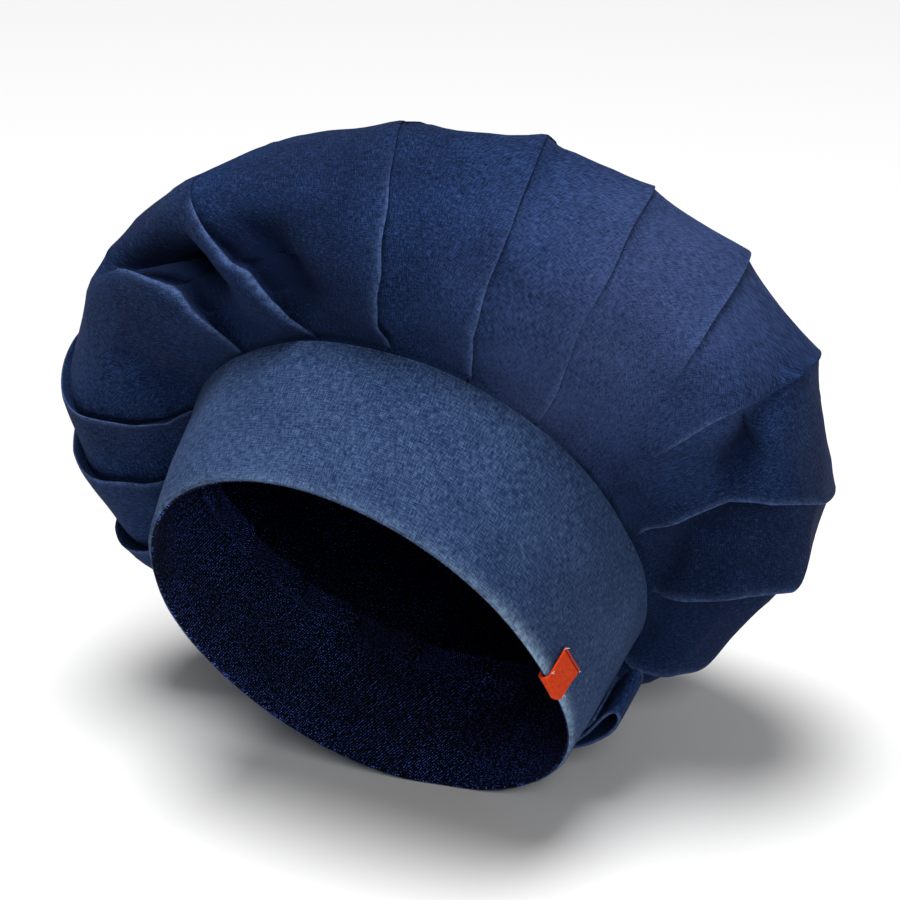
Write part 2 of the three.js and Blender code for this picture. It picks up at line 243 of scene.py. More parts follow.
# The tag and the bow, as in the frame. The tag's tape stands off the band by its slack, turns under it over
# a share of its distance from the band's middle, and is sewn down at its turned end. A thread's place is
# given from the tag's ends. The room is what one layer of strap takes up in the bow.
TAG = {"azimuth": 89, "width": 0.017, "outside": 0.013, "inside": 0.005, "turned_end": 0.0011,
       "slack": 0.0002, "corner_lift": 0.0006, "turn_from": 0.0005, "turn_depth": 0.5}
THREAD = {"length": 0.0014, "radius": 0.00013, "at_each_corner": 2, "seed": 4, "from_end": 0.0005, "sides": 6}
STRAP_WIDTH = 0.022
STRAP_ROOM = 0.0016
STRAP_WAVE = {"rise": 0.0004, "size": 0.012, "shift": 0.5}
STRAP_WEAR = {"most": 0.6, "from": 0.9}
CUT_END_WEAR = 0.5
TAIL_WAVE = {"rise": 0.0001, "pace": 9, "places": 28}
KNOT = {"length": 0.016, "depth": 0.008, "height": 0.026, "above": 0.038, "gap": 0.0015}
KNOT_SHAPE = {"fullness": 0.95, "squareness": 4, "bulge": 5, "taper": 0.4, "end": 0.25, "wrap_radius": 0.006}
KNOT_CREASES = {"share": 0.045, "pace": 9, "sway": 1.5}
LOOPS = [
    {"name": "tie_loop_right", "side": -1, "reach": 0.050, "depth": 0.012, "above": 0.035},
    {"name": "tie_loop_left", "side": 1, "reach": 0.046, "depth": 0.0046, "above": 0.040},
]
TAILS = [
    {"name": "tie_tail_right", "side": -1, "reach": 0.034, "above": 0.036},
    {"name": "tie_tail_left", "side": 1, "reach": 0.072, "above": 0.038},
]

# The photograph's view: the camera's direction from the middle of the opening, its distance, and the
# point that it looks at, to the right of and above that middle in the picture.
VIEW_AZIMUTH = 25.6
VIEW_ELEVATION = 27
VIEW_DISTANCE = 1.37
VIEW_RIGHT = 0.03546
VIEW_UP = 0.07884
LENS = 134.8
SENSOR = 36

# The studio: each light's place from the middle of the hat, towards the camera, right and up as the camera
# sees it, and the floor.
LIGHTS = [
    {"name": "key_light", "towards": 2.6, "right": -0.3, "up": 3.6, "size": 2.4, "watts": 290},
    {"name": "side_light", "towards": 4.2, "right": 0.6, "up": 0.4, "size": 1.6, "watts": 75},
]
MIDDLE_BEYOND_RIM = (0, 0.05, 0.06)
WORLD_STRENGTH = 0.18
FLOOR = {"half_side": 8.0, "colour": (0.7, 0.7, 0.7, 1), "roughness": 0.9}


def cosine(degrees):
    return np.cos(np.radians(degrees))


def sine(degrees):
    return np.sin(np.radians(degrees))


def mix(low, high, share):
    return low + (high - low) * share


def smoothstep(value, low, high):
    share = np.clip((value - low) / (high - low), 0, 1)
    return share * share * (3 - 2 * share)


# A bump of height 1 at the middle that dies away on both sides.
def bell(value, middle, width):
    return np.exp(-((value - middle) / width) ** 2)


# From the hat's own frame to the row's.
def placed(points):
    x, y, z = points[..., 0], points[..., 1], points[..., 2]
    rise = math.radians(AXIS_RISE)
    back = y * math.sin(rise) + z * math.cos(rise)
    up = z * math.sin(rise) - y * math.cos(rise)
    return np.stack([x, back, up], -1) + RIM_CENTRE


def polar(radius, azimuth, height):
    return np.stack(np.broadcast_arrays(radius * sine(azimuth), -radius * cosine(azimuth), height), -1)


def rim_radius(azimuth):
    oval = OVAL["share"] * cosine(2 * (azimuth - OVAL["azimuth"]))
    egg = EGG["share"] * cosine(3 * (azimuth - EGG["azimuth"]))
    return HEAD_GIRTH / (2 * math.pi) * (1 + oval + egg)


# The band's middle surface, moved out by offset, as radius and height.
def band_place(azimuth, share, offset):
    bulge = BAND_BULGE * np.sin(math.pi * np.clip(share, 0, 1))
    radius = rim_radius(azimuth) * (1 + BAND_FLARE * share) + bulge + offset
    edge = BAND_SADDLE["rise"] * cosine(2 * (azimuth - BAND_SADDLE["azimuth"]))
    return radius, edge + share * (BAND_HEIGHT + BAND_LEAN * sine(azimuth))


def band_point(azimuth, share, offset):
    radius, height = band_place(azimuth, share, offset)
    return polar(radius, azimuth, height)


# A point beside the band's outer face: along from the back of the hat, off the face, up from the edge.
def beside_band(along, off, height):
    azimuth = BACK_AZIMUTH + np.degrees(along / rim_radius(BACK_AZIMUTH))
    return band_point(azimuth, height / BAND_HEIGHT, BAND_WALL / 2 + off)


# Lifts whatever would lie below the surface, softly, so that layers pressed on it stay in order.
def rested(points):
    well_above = 20
    lifted = points.copy()
    above = (points[..., 2] - FLOOR_CLEARANCE) / PRESSING_SOFTNESS
    lifted[..., 2] = FLOOR_CLEARANCE + PRESSING_SOFTNESS * np.logaddexp(0, above)
    return np.where(above[..., None] > well_above, points, lifted)


# A smooth curve through values at knots, flat past both ends.
def through(knots, values, at):
    knots = np.asarray(knots, float)
    values = np.asarray(values, float)
    slopes = np.gradient(values, knots, axis=0)
    at = np.clip(at, knots[0], knots[-1])
    index = np.clip(np.searchsorted(knots, at, side="right") - 1, 0, len(knots) - 2)
    width = knots[index + 1] - knots[index]
    share = (at - knots[index]) / width
    start, end = values[index], values[index + 1]
    cubic = share * share * (3 - 2 * share)
    leave = share * (1 - share) ** 2 * width * slopes[index]
    arrive = share * share * (share - 1) * width * slopes[index + 1]
    return mix(start, end, cubic) + leave + arrive


def crown_radius(azimuth):
    spread = CROWN_SPREAD["share"] * cosine(azimuth - CROWN_SPREAD["azimuth"])
    return CROWN_WIDTH / 2 * (1 + spread - CROWN_OVAL * cosine(2 * azimuth))


def crown_sag(azimuth):
    return np.maximum(0, SAG["mean"] + SAG["swing"] * cosine(azimuth - SAG["azimuth"]))


# The crown's section rows at each azimuth, as radius and height, without folds.
def crown_rows(azimuth):
    widest = crown_radius(azimuth)
    radii, heights = [], []
    for index, row in enumerate(CROWN_SECTION):
        share = 1 + min(row["past"], 0) / BAND_HEIGHT
        seat_radius, seat_height = band_place(azimuth, share, -BAND_WALL / 2 - GAP)
        inner = seat_radius if index < SHOULDER else 0
        lower = min(row["up"], 1) * (WIDEST_HEIGHT - seat_height)
        upper = max(row["up"] - 1, 0) * (HAT_HEIGHT - WIDEST_HEIGHT)
        level = seat_height + lower + upper + max(row["past"], 0) - row["sag"] * crown_sag(azimuth)
        radii.append(mix(inner, widest, row["out"]) + 0 * azimuth)
        heights.append(level)
    return np.array(radii), np.array(heights)


# A Catmull-Rom spline through the rows, and its direction.
def spline(rows, along):
    last = len(rows) - 1
    index = np.minimum(along.astype(int), last - 1)
    share = along - index
    nearby = [np.clip(index + step, 0, last)[None] for step in (-1, 0, 1, 2)]
    before, start, end, after = (np.take_along_axis(rows, row, 0)[0] for row in nearby)
    leave = (end - before) / 2
    arrive = (after - start) / 2
    cubic = 2 * start - 2 * end + leave + arrive
    square = 3 * end - 3 * start - 2 * leave - arrive
    place = ((cubic * share + square) * share + leave) * share + start
    return place, (3 * cubic * share + 2 * square) * share + leave


# Points of the crown, each moved out from the smooth section by its own outward distance.
def crown_points(azimuth, along, outward):
    radii, heights = crown_rows(azimuth)
    radius, radius_slope = spline(radii, along)
    height, height_slope = spline(heights, along)
    length = np.maximum(np.hypot(radius_slope, height_slope), 1e-9)
    radius = np.maximum(radius + height_slope / length * outward, 0)
    level = height - radius_slope / length * outward
    points = polar(radius, azimuth, level)
    above = np.maximum(0, level - band_place(azimuth, 1, 0)[1])
    points[..., 0] += CROWN_LEAN_RIGHT * above
    points[..., 1] -= CROWN_LEAN_UP * above
    return placed(points)


# A closed cubic B-spline across control values, with a fixed number of steps for each.
def across_spline(values, steps):
    share = (np.arange(steps) / steps)[:, None]
    weights = np.concatenate([
        (1 - share) ** 3,
        3 * share ** 3 - 6 * share ** 2 + 4,
        -3 * share ** 3 + 3 * share ** 2 + 3 * share + 1,
        share ** 3,
    ], 1) / 6
    nearby = np.stack([np.roll(values, 1 - step, axis=-1) for step in range(4)], -1)
    result = nearby @ weights.T
    return result.reshape(*values.shape[:-1], -1)


# The azimuth of every folded edge at each place along the section, with a little unevenness.
def fold_edges(along):
    knots = [AT_BAND, UNDERSIDE, BELLY, WIDEST, SHOULDER]
    edges = []
    for index, pleat in enumerate(PLEATS):
        spots = [(place * STRAYING["pace"], index * STRAYING["between_pleats"], STRAYING["shift"])
                 for place in along]
        sway = np.array([noise.noise(Vector(spot)) for spot in spots])
        edges.append(through(knots, pleat["edge"], along) + STRAYING["degrees"] * sway)
    return np.stack(edges, -1)


# The control points across all pleats at each place along the section: azimuth, outward distance, and
# how much the cloth is rubbed.
def pleat_controls(along):
    edges = fold_edges(along)
    depth_knots = [LIP, UNDERSIDE, BELLY, WIDEST, SHOULDER]
    rows = np.arange(len(CROWN_SECTION))
    share = through(rows, [row["rise"] for row in CROWN_SECTION], along)[:, None] * MILLIMETRE
    depth = np.stack([through(depth_knots, pleat["depth"], along) for pleat in PLEATS], -1) * share
    longest = through(rows, [row["lap"] for row in CROWN_SECTION], along)[:, None]
    open_enough = smoothstep(along, MOUTH, LIP)[:, None]
    lap = longest * mix(1, smoothstep(depth, SHALLOW_FOLD, DEEP_FOLD), open_enough)
    radius = spline(crown_rows(edges)[0], np.broadcast_to(along[:, None], edges.shape))[0]
    radius = np.maximum(radius, SMALLEST_RADIUS)
    before = np.roll(edges, 1, axis=1)
    before[:, 0] -= 360
    lap_angle = np.degrees(lap / radius)
    back_share = smoothstep(lap, 0, FULL_LAP)
    azimuths, outward, worn = [], [], []
    for point in PLEAT_SECTION:
        start = before - point["lap_before"] * np.roll(lap_angle, 1, axis=1)
        end = edges - point["lap_own"] * lap_angle - np.degrees(point["back"] / radius) * back_share
        azimuths.append(mix(start, end, point["across"]))
        outward.append(-point["below_before"] * np.roll(depth, 1, axis=1) - point["below_own"] * depth)
        worn.append(point["worn"] * smoothstep(depth, RUBBED_FROM, RUBBED_FULLY))
    return [np.stack(values, -1).reshape(len(along), -1) for values in (azimuths, outward, worn)]


# How far the cloth lies inside the round section where it is drawn straight from one folded edge to the
# next.
def chord_dip(azimuth, along):
    edges = fold_edges(along[:, 0])[:, None, :]
    radius = spline(crown_rows(azimuth)[0], along)[0]
    dip = np.zeros(azimuth.shape)
    for index in range(len(PLEATS)):
        start = edges[..., index - 1] - (360 if index == 0 else 0)
        span = edges[..., index] - start
        for turn in (-360, 0, 360):
            across = (azimuth + turn - start) / span
            inside = (across > 0) & (across < 1)
            sagitta = radius * (1 - cosine(span / 2))
            dip = np.where(inside, sagitta * 4 * across * (1 - across), dip)
    return DRAWN_IN * dip * smoothstep(along, MOUTH, UNDERSIDE) * (1 - smoothstep(along, SHOULDER, TOP))


# How much a point of the crown is dented by the creases, as a depth.
def crease_depth(azimuth, along):
    points = crown_points(azimuth, along, 0 * azimuth)
    total = np.zeros(azimuth.shape)
    for crease in CREASES:
        way = np.array(crease["way"], float)
        stops = crown_points(way[:, 0], way[:, 1], 0 * way[:, 0])
        nearest = np.full(azimuth.shape, np.inf)
        strength = np.zeros(azimuth.shape)
        for index in range(len(stops) - 1):
            run = stops[index + 1] - stops[index]
            share = np.clip((points - stops[index]) @ run / (run @ run), 0, 1)
            distance = np.linalg.norm(points - stops[index] - share[..., None] * run, axis=-1)
            closer = distance < nearest
            nearest = np.where(closer, distance, nearest)
            strength = np.where(closer, mix(way[index, 2], way[index + 1, 2], share), strength)
        total += crease["depth"] * strength / (1 + (nearest / crease["width"]) ** 2) ** 1.5
    return total


# Smooth noise of points in space, between about -1 and 1.
def noise_at(points, kind):
    flat = points.reshape(-1, 3) / kind["size"] + kind["shift"]
    values = [noise.noise(Vector(point)) for point in flat]
    return np.array(values).reshape(points.shape[:-1])


def swell(points, kind):
    return kind["rise"] * noise_at(points, kind)


# Sharp shallow ridges, as cotton keeps them after it has been folded up.
def crumple(points):
    ridges = (1 - np.abs(noise_at(points, RIDGES))) ** RIDGES["sharpness"]
    patches = smoothstep(noise_at(points, RIDGE_PATCHES), RIDGE_PATCHES["none"], RIDGE_PATCHES["full"])
    return RIDGES["rise"] * ridges * patches


# Fine wrinkles that run outwards from the band and fade.
def band_wrinkles(azimuth, along):
    spread = WRINKLES["round"]
    places = np.stack([cosine(azimuth) * spread, sine(azimuth) * spread, along * WRINKLES["along"]], -1)
    fading = smoothstep(along, LIP - 0.5, LIP + 0.5) * (1 - smoothstep(along, UNDERSIDE, WIDEST))
    return swell(places, WRINKLES) * fading


def new_piece(name, points, faces, materials, face_materials=None):
    mesh = bpy.data.meshes.new(name)
    mesh.from_pydata(points.reshape(-1, 3).tolist(), [], faces)
    mesh.update()
    mesh.shade_smooth()
    for material in materials:
        mesh.materials.append(material)
    if face_materials is not None:
        mesh.polygons.foreach_set("material_index", face_materials)
    piece = bpy.data.objects.new(name, mesh)
    bpy.context.scene.collection.objects.link(piece)
    return piece


def add_attribute(piece, name, values):
    attribute = piece.data.attributes.new(name, "FLOAT", "POINT")
    attribute.data.foreach_set("value", np.asarray(values, float).ravel())


# Writes a UV map from one pair of metres for each point. A grid that closes on itself gives the pair on
# the far side of its join as well, as an amount to add where a face crosses it.
def add_cloth_map(piece, pairs, join=None):
    mesh = piece.data
    layer = mesh.uv_layers.new(name="cloth")
    corners = np.empty(len(mesh.loops), int)
    mesh.loops.foreach_get("vertex_index", corners)
    values = pairs.reshape(-1, 2)[corners]
    if join is not None:
        owners = np.repeat(np.arange(len(mesh.polygons)), [polygon.loop_total for polygon in mesh.polygons])
        highest = np.full(len(mesh.polygons), -np.inf)
        np.maximum.at(highest, owners, values[:, 0])
        behind = highest[owners] - values[:, 0] > join / 2
        values[behind, 0] += join
    layer.data.foreach_set("uv", values.ravel())


# Quads over a grid of points whose columns, and rows where asked, close on themselves.
def grid_faces(rows, columns, closed_rows=False):
    faces = []
    for row in range(rows if closed_rows else rows - 1):
        above = (row + 1) % rows
        for column in range(columns):
            right = (column + 1) % columns
            faces.append((row * columns + column, row * columns + right,
                          above * columns + right, above * columns + column))
    return faces


def enclosed_volume(points, faces):
    corners = points.reshape(-1, 3)
    triangles = [(face[0], face[step], face[step + 1]) for face in faces for step in range(1, len(face) - 1)]
    a, b, c = (corners[list(column)] for column in zip(*triangles))
    return float(np.einsum("ij,ij->i", a, np.cross(b, c)).sum()) / 6


def outward_faces(points, faces):
    centred = points - points.reshape(-1, 3).mean(0)
    if enclosed_volume(centred, faces) < 0:
        return [face[::-1] for face in faces]
    return faces


# A socket's value, so that shader maths reads as plain expressions.
class Value:
    def __init__(self, shader, socket):
        self.shader = shader
        self.socket = socket

    def __add__(self, other):
        return self.shader.math("ADD", self, other)

    def __sub__(self, other):
        return self.shader.math("SUBTRACT", self, other)

    def __mul__(self, other):
        return self.shader.math("MULTIPLY", self, other)


class Shader:
    def __init__(self, name, constants):
        self.material = bpy.data.materials.new(name)
        self.material.use_nodes = True
        self.tree = self.material.node_tree
        self.surface = self.tree.nodes["Principled BSDF"]
        for socket, constant in constants.items():
            self.surface.inputs[socket].default_value = constant

    def feed(self, socket, value):
        if isinstance(value, Value):
            self.tree.links.new(value.socket, socket)
        else:
            socket.default_value = value

    def node(self, kind, settings, values, output=0):
        node = self.tree.nodes.new(kind)
        for name, setting in settings.items():
            setattr(node, name, setting)
        for name, value in values.items():
            self.feed(node.inputs[name], value)
        return Value(self, node.outputs[output])

    def math(self, operation, *values):
        return self.node("ShaderNodeMath", {"operation": operation}, dict(enumerate(values)))

    # The cloth's own map in metres, and the place in space.
    def cloth(self):
        return self.node("ShaderNodeUVMap", {"uv_map": "cloth"}, {})

    def place(self):
        return self.node("ShaderNodeTexCoord", {}, {}, 3)

    def reach_along(self, vector, direction):
        return self.node("ShaderNodeVectorMath", {"operation": "DOT_PRODUCT"}, {0: vector, 1: direction}, 1)

    def noise(self, vector, scale, detail=2.0, roughness=0.5):
        values = {"Vector": vector, "Scale": scale, "Detail": detail, "Roughness": roughness}
        return self.node("ShaderNodeTexNoise", {}, values)

    # How far the dye is off its middle tone.
    def dye(self, place, kind):
        patches = self.noise(place, kind["cells"], kind["detail"], kind["roughness"])
        return (patches - 0.5) * kind["strength"]

    # Streaks over the cloth's map, with so many noise cells in a metre across and along.
    def yarn(self, cloth, across, along, detail=2.0, roughness=0.6):
        cells = {0: cloth, 1: (across, along, 1.0)}
        stretched = self.node("ShaderNodeVectorMath", {"operation": "MULTIPLY"}, cells)
        return self.noise(stretched, 1.0, detail, roughness)

    def ramp(self, value, low, high, to_low=0.0, to_high=1.0):
        values = {"Value": value, "From Min": low, "From Max": high, "To Min": to_low, "To Max": to_high}
        return self.node("ShaderNodeMapRange", {"interpolation_type": "SMOOTHSTEP"}, values)

    def blend(self, share, low, high):
        return self.node("ShaderNodeMix", {"data_type": "RGBA"}, {0: share, 6: low, 7: high}, 2)

    def attribute(self, name):
        return self.node("ShaderNodeAttribute", {"attribute_name": name}, {}, 2)

    def paint(self, colour, height, depth):
        self.feed(self.surface.inputs["Base Color"], colour)
        bump = self.node("ShaderNodeBump", {}, {"Height": height, "Distance": depth, "Strength": 1.0})
        self.feed(self.surface.inputs["Normal"], bump)
        return self.material


def linear(red, green, blue):
    straight = [(value / 255 / 12.92) if value < 11 else ((value / 255 + 0.055) / 1.055) ** 2.4
                for value in (red, green, blue)]
    return (*straight, 1.0)


# Fine plain weave with uneven threads both ways, a mottled dye, and paler worn places. Painted light lifts
# the cloth's tone towards a greyer blue, and painted shade lowers it.
def chambray(name, dark, light, worn):
    shader = Shader(name, {"Roughness": 0.95, "Specular IOR Level": 0.12, "Sheen Weight": 0.03,
                           "Sheen Roughness": 0.4, "Sheen Tint": linear(120, 150, 235)})
    cloth = shader.cloth()
    place = shader.place()
    fine, long = 1 / WEAVE["thread"], 1 / WEAVE["run"]
    weave = (shader.yarn(cloth, long, fine) + shader.yarn(cloth, fine, long)) * 0.5
    slub_across = shader.yarn(cloth, SLUBS["long"], SLUBS["short"], 1.0, 0.5)
    slub_along = shader.yarn(cloth, SLUBS["short"], SLUBS["long"], 1.0, 0.5)
    slubs_across = shader.ramp(slub_across, SLUBS["from"], SLUBS["full"])
    slubs = (slubs_across + shader.ramp(slub_along, SLUBS["from"], SLUBS["full"])) * 0.5
    uneven_dye = shader.dye(place, MOTTLE) + shader.dye(place, CLOUDS)
    tone = (weave - 0.5) * WEAVE["contrast"] + uneven_dye + slubs * 0.2 + 0.45
    # Painted light and painted shade, carried by a point attribute, shift the tone and the colour.
    tone = tone + shader.attribute("painted_light_and_shade")
    dyed = shader.blend(shader.ramp(tone, 0.0, 1.6), dark, light)
    painted_lit_colour = shader.blend(shader.ramp(tone, 0.2, 1.4), linear(34, 42, 76), linear(80, 86, 116))
    dyed = shader.blend(shader.attribute("painted_light_and_shade") * 1.4, dyed, painted_lit_colour)
    fray = shader.ramp(weave + shader.noise(place, 420.0) * 0.5, 0.55, 0.95)
    rubbed = shader.attribute("worn") * (fray * 0.75 + 0.25)
    return shader.paint(shader.blend(rubbed, dyed, worn), weave + slubs * 0.6, WEAVE["relief"])


# Near-black twill, its darkness painted shade of the hat's inside: steep fine ribs with blue flecks where the
# surface yarn shows.
def twill(name, dark, light):
    shader = Shader(name, {"Roughness": 0.95, "Specular IOR Level": 0.1})
    cloth = shader.cloth()
    across = shader.reach_along(cloth, (1 / TWILL["rib"], TWILL["slant"] / TWILL["rib"], 0.0))
    ribs = shader.math("SINE", across * (2 * math.pi)) * 0.5 + 0.5
    yarn = shader.yarn(cloth, 1000.0, 1500.0)
    flecks = shader.ramp(yarn + ribs * 0.16, 0.66, 0.80)
    patches = shader.ramp(shader.noise(shader.place(), 22.0, 3.0), 0.35, 0.7)
    colour = shader.blend(flecks * (patches * 0.6 + 0.4), dark, light)
    return shader.paint(colour, ribs * 0.6 + yarn, TWILL["relief"])


# Bare woven tape: fine ribs across its length, and the seam that holds its turned end.
def tape(name, dark, light, sewn):
    shader = Shader(name, {"Roughness": 0.8, "Specular IOR Level": 0.1})
    cloth = shader.cloth()
    ribs = shader.yarn(cloth, TAPE["long"], TAPE["short"])
    tone = (ribs + shader.yarn(cloth, TAPE["short"], TAPE["long"])) * 0.5
    from_seam = shader.math("ABSOLUTE", shader.reach_along(cloth, (0.0, 1.0, 0.0)) - TAG["turned_end"])
    seam = shader.ramp(from_seam, TAPE["seam"], 2 * TAPE["seam"], 1.0, 0.0)
    colour = shader.blend(shader.ramp(tone, 0.3, 0.7), dark, light)
    return shader.paint(shader.blend(seam, colour, sewn), tone - seam, TAPE["relief"])


def twisted_thread(name, dark, light):
    shader = Shader(name, {"Roughness": 0.8})
    twist = shader.noise(shader.place(), 2400.0)
    return shader.paint(shader.blend(twist, dark, light), twist, THREAD_RELIEF)


crown_cloth = chambray("crown_chambray", linear(1, 13, 40), linear(42, 70, 122), linear(84, 108, 156))
band_cloth = chambray("band_chambray", linear(14, 31, 62), linear(74, 98, 138), linear(150, 178, 205))
# The inside's near-black colour is painted shade of the hat's hollow; its blue flecks are the yarn.
inside_shade_cloth = twill("inside_twill_painted_shade", linear(0, 1, 6), linear(84, 118, 235))
tag_tape = tape("tag_tape", linear(160, 38, 8), linear(212, 66, 16), linear(96, 26, 10))
pale_thread = twisted_thread("pale_thread", linear(150, 150, 165), linear(200, 205, 215))


# How deep each column of the crown lies in the stack of layers inside the band, from 0 to 1.
def stacked_depth():
    controls = np.tile([point["stacked"] for point in PLEAT_SECTION], len(PLEATS))[None]
    return across_spline(controls, STEPS_PER_POINT)


# How much painted light, where positive, and painted shade, where negative, the crown takes round the hat.
def painted_light_round_crown(azimuth):
    total = np.zeros(azimuth.shape)
    for patch in PAINTED_LIGHT_PATCHES:
        turn = (azimuth - patch["azimuth"] + 180) % 360 - 180
        total += patch["amount"] * bell(turn, 0, patch["half_width"])
    return total


# The crown: one sheet of cotton pleated into the band.
def crown():
    along = np.concatenate([np.linspace(index, index + 1, row["steps"], endpoint=False)
                            for index, row in enumerate(CROWN_SECTION) if row["steps"]])
    controls = pleat_controls(along)
    count = controls[0].shape[1]
    even = np.arange(count) * 360 / count
    azimuth = across_spline(controls[0] - even, STEPS_PER_POINT)
    azimuth += np.arange(azimuth.shape[1]) * 360 / azimuth.shape[1]
    fold = across_spline(controls[1], STEPS_PER_POINT)
    rubbed = across_spline(controls[2], STEPS_PER_POINT)
    rows, columns = azimuth.shape
    along = np.broadcast_to(along[:, None], azimuth.shape)
    smooth = crown_points(azimuth, along, 0 * azimuth)
    uneven = swell(smooth, SWELLS) + swell(smooth, DIMPLES) + crumple(smooth) + band_wrinkles(azimuth, along)
    creased = crease_depth(azimuth, along)
    pleated = fold * (1 - smoothstep(along, BROW, FLAT_TOP))
    loose = pleated + uneven - chord_dip(azimuth, along) - creased
    squeezed = -STACK["outermost"] - STACK["thickness"] * stacked_depth()
    outward = mix(squeezed, loose, smoothstep(along, MOUTH, LIP + 0.5))
    points = rested(crown_points(azimuth, along, outward))
    pole = points[-1].mean(0)
    faces = grid_faces(rows, columns)
    last = (rows - 1) * columns
    faces += [(last + column, last + (column + 1) % columns, rows * columns) for column in range(columns)]
    corners = np.concatenate([points.reshape(-1, 3), pole[None]])
    piece = new_piece("crown_sheet", corners, outward_faces(corners, faces), [crown_cloth, inside_shade_cloth])
    in_reach = smoothstep(along, MOUTH, LIP) * (1 - smoothstep(along, WIDEST, BROW))
    add_attribute(piece, "worn", np.append(EDGE_WEAR * rubbed ** 2 * in_reach, 0))
    # Painted shade in folds and hollows, and painted light and shade in patches round the crown below its
    # top, go into one attribute.
    painted_hollow_shade = PAINTED_SHADE_IN_HOLLOWS["most"] * smoothstep(creased - fold, PAINTED_SHADE_IN_HOLLOWS["from"], PAINTED_SHADE_IN_HOLLOWS["full"])
    below_top = 1 - smoothstep(along, WIDEST + 0.5, BROW)
    add_attribute(piece, "painted_light_and_shade", np.append(painted_light_round_crown(azimuth) * below_top - painted_hollow_shade, 0))
    add_cloth_map(piece, flat_circle(points, pole))
    wall = piece.modifiers.new("wall", "SOLIDIFY")
    wall.thickness = CROWN_CLOTH
    wall.offset = -1
    wall.material_offset = 1
    wall.material_offset_rim = 1
    return piece


# Each point's place on the flat round cut, in metres.
def flat_circle(points, pole):
    steps = np.linalg.norm(np.diff(points, axis=0), axis=-1).mean(1)
    reach = np.append(np.cumsum(steps[::-1])[::-1], 0) + np.linalg.norm(points[-1] - pole, axis=-1).mean()
    middle_row = points[len(points) // 2]
    spans = np.linalg.norm(np.roll(middle_row, -1, 0) - middle_row, axis=-1)
    angle = 2 * math.pi * np.concatenate([[0], np.cumsum(spans)[:-1]]) / spans.sum()
    flat = np.stack([reach[:, None] * np.cos(angle), reach[:, None] * np.sin(angle)], -1)
    return np.concatenate([flat.reshape(-1, 2), [[0, 0]]])


# The band: a doubled strip with turned edges, closed into a ring.
def band():
    azimuth = np.arange(BAND_FACE["columns"]) * 360 / BAND_FACE["columns"]
    low, high = BAND_FACE["from"], BAND_FACE["to"]
    edge_turn = np.linspace(0, math.pi, 7)[1:-1]
    rise = np.linspace(low, high, BAND_FACE["steps"])
    outer = [(share, 1.0) for share in rise]
    upper = [(high + (1 - high) * math.sin(turn), math.cos(turn)) for turn in edge_turn]
    inner = [(share, -1.0) for share in rise[::-1]]
    lower = [(low - low * math.sin(turn), -math.cos(turn)) for turn in edge_turn]
    profile = np.array(outer + upper + inner + lower)
    share = profile[:, 0][:, None] + 0 * azimuth
    side = profile[:, 1][:, None] + 0 * azimuth
    smooth = placed(band_point(azimuth[None], share, 0))
    ripple = swell(smooth, BAND_SWELLS) + swell(smooth, BAND_DIMPLES)
    ripple = ripple + BAND_ROLL["rise"] * bell(share, BAND_ROLL["at"], BAND_ROLL["width"])
    offset = side * BAND_WALL / 2 + np.where(side > 0, ripple, 0) * np.abs(side)
    points = rested(placed(band_point(azimuth[None], share, offset)))
    faces = grid_faces(len(profile), len(azimuth), closed_rows=True)
    inside = [0 if side[face[0] // len(azimuth), 0] > -0.5 else 1 for face in faces]
    piece = new_piece("band_ring", points, outward_faces(points, faces), [band_cloth, inside_shade_cloth], inside)
    top = TOP_WEAR["most"] * bell(share, 1, TOP_WEAR["width"])
    by_tag = WEAR_BY_TAG["most"] * bell(azimuth, WEAR_BY_TAG["azimuth"], WEAR_BY_TAG["width"])[None]
    bottom = (BOTTOM_WEAR["most"] + by_tag) * bell(share, 0, BOTTOM_WEAR["width"])
    add_attribute(piece, "worn", np.clip(top + bottom, 0, 1))
    girth = azimuth / 360 * HEAD_GIRTH
    pairs = np.stack(np.broadcast_arrays(girth[None], share * BAND_HEIGHT), -1)
    add_cloth_map(piece, np.ascontiguousarray(pairs), HEAD_GIRTH)
    return piece


# A closed strip from sections of points, each section closed, with a fan at each end unless it is a loop.
# worn, where given, is how much each point is rubbed.
def strip_piece(name, sections, pairs, material, worn=None, looped=False):
    sections = rested(np.array(sections))
    pairs = np.array(pairs)
    rows, columns = sections.shape[:2]
    faces = grid_faces(rows, columns, closed_rows=looped)
    points = sections.reshape(-1, 3)
    if not looped:
        points = np.concatenate([points, [sections[0].mean(0), sections[-1].mean(0)]])
        pairs = np.concatenate([pairs.reshape(-1, 2), [pairs[0].mean(0), pairs[-1].mean(0)]])
        last = (rows - 1) * columns
        for column in range(columns):
            right = (column + 1) % columns
            faces.append((right, column, rows * columns))
            faces.append((last + column, last + right, rows * columns + 1))
    piece = new_piece(name, points, outward_faces(points, faces), [material])
    if worn is not None:
        cut_ends = [] if looped else [CUT_END_WEAR, CUT_END_WEAR]
        add_attribute(piece, "worn", np.append(worn, cut_ends))
    add_cloth_map(piece, pairs)
    return piece


# A flat tape's section: places across its width, from -1 to 1, and through its thickness, from 0 to 1.
def tape_section():
    rim = 1.02
    width = np.sin(np.linspace(-0.5, 0.5, 9) * math.pi)
    front = [(place, 1.0) for place in width]
    back = [(place, 0.0) for place in width[::-1]]
    return np.array([*front, (rim, 0.5), *back, (-rim, 0.5)])


# For each place on a route in a plane: the direction across the tape's thickness, and the length so far.
def route_frame(route, looped=False):
    ahead = np.roll(route, -1, 0)
    behind = np.roll(route, 1, 0)
    if not looped:
        ahead[-1] = route[-1]
        behind[0] = route[0]
    tangent = ahead - behind
    tangent /= np.linalg.norm(tangent, axis=1)[:, None]
    away = np.stack([-tangent[:, 1], tangent[:, 0]], -1)
    length = np.concatenate([[0], np.cumsum(np.linalg.norm(np.diff(route, axis=0), axis=1))])
    return away, length


